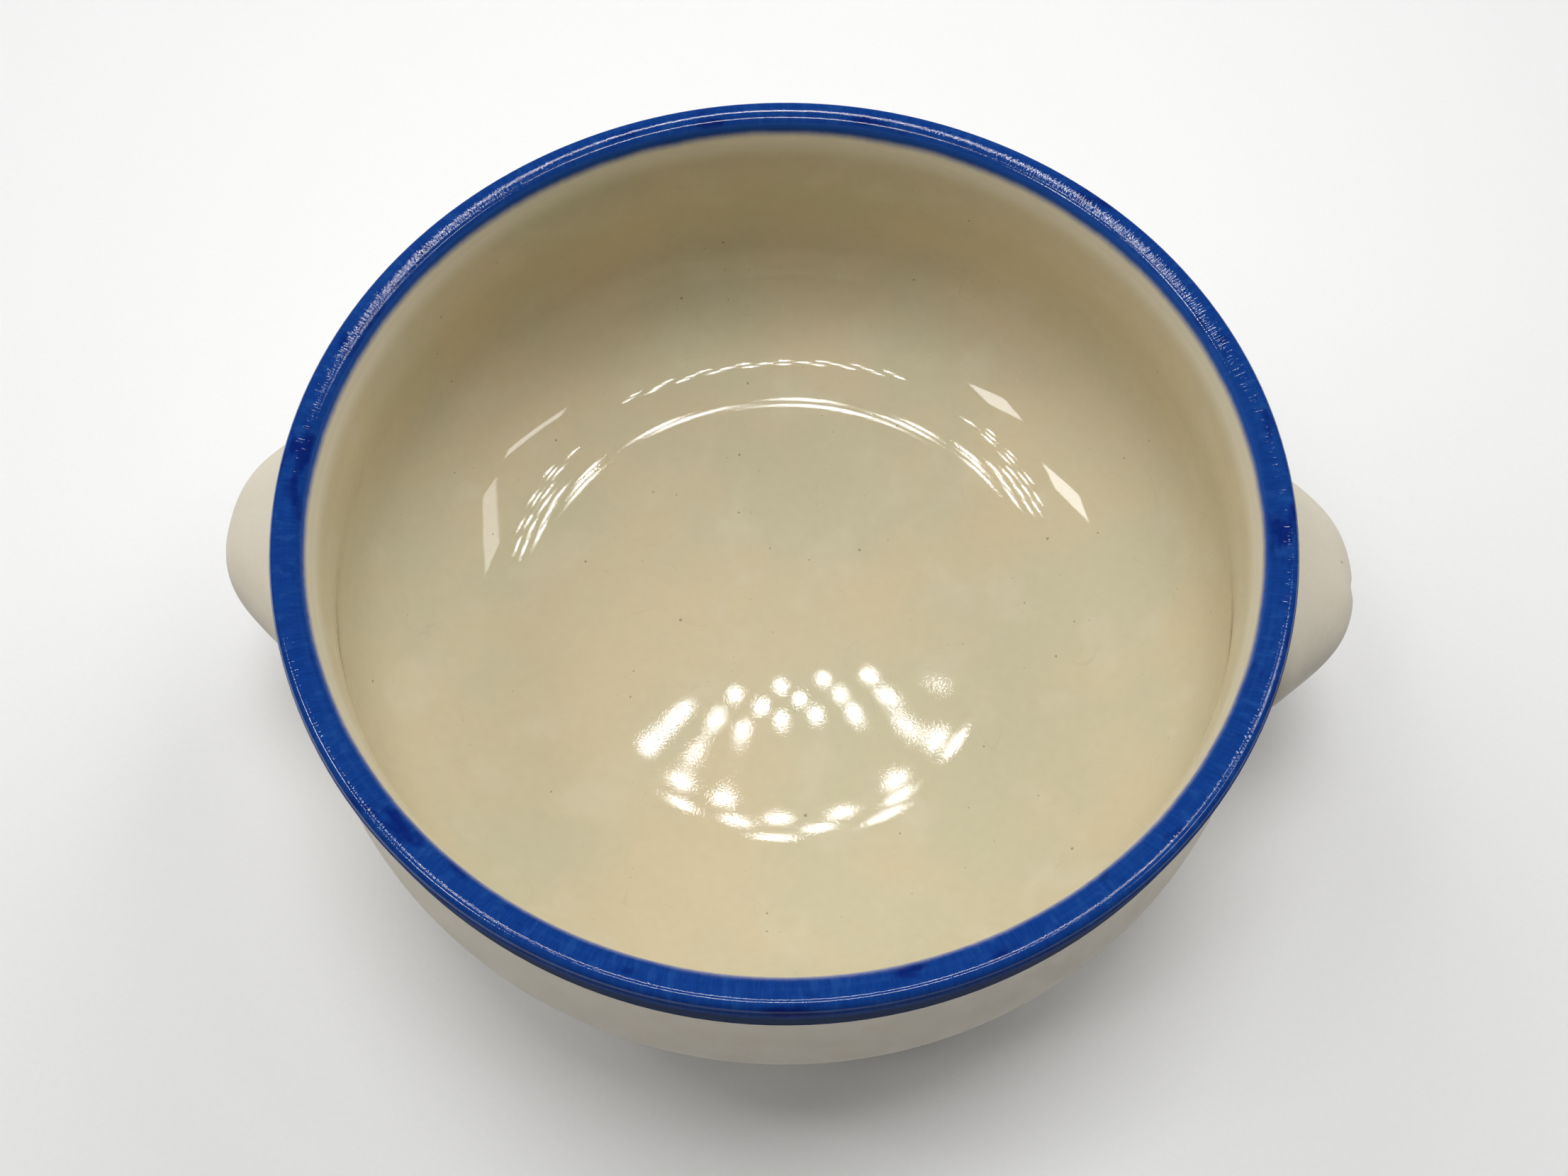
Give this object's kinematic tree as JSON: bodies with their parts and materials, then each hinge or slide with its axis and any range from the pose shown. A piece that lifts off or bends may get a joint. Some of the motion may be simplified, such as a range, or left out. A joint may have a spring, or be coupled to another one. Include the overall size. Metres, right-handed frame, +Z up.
{
  "type": "soup cup",
  "caption": "Round stoneware soup cup with a swelling wall, cobalt-banded rounded lip, glossy cream liner, bare foot ring and solid ear lugs on opposite sides.",
  "frame": {"origin": "middle of the foot ring's resting face, on the table", "axes": "+Z up along the bowl's axis, +X through the right lug"},
  "size_m": [0.1734, 0.1476, 0.062],
  "materials": {
    "satin_clay": "satin pale cream outside glaze",
    "bare_clay": "unglazed fired stoneware",
    "cream_glaze": "glossy cream",
    "cobalt_glaze": "glossy brushed cobalt"
  },
  "bodies": {
    "root": {"bowl_body": "satin_clay", "foot_ring": "bare_clay", "liner_glaze": "cream_glaze", "rim_band": "cobalt_glaze", "right_lug": "satin_clay", "left_lug": "satin_clay", "right_lug_slip": "satin_clay", "left_lug_slip": "satin_clay"}
  },
  "joints": []
}
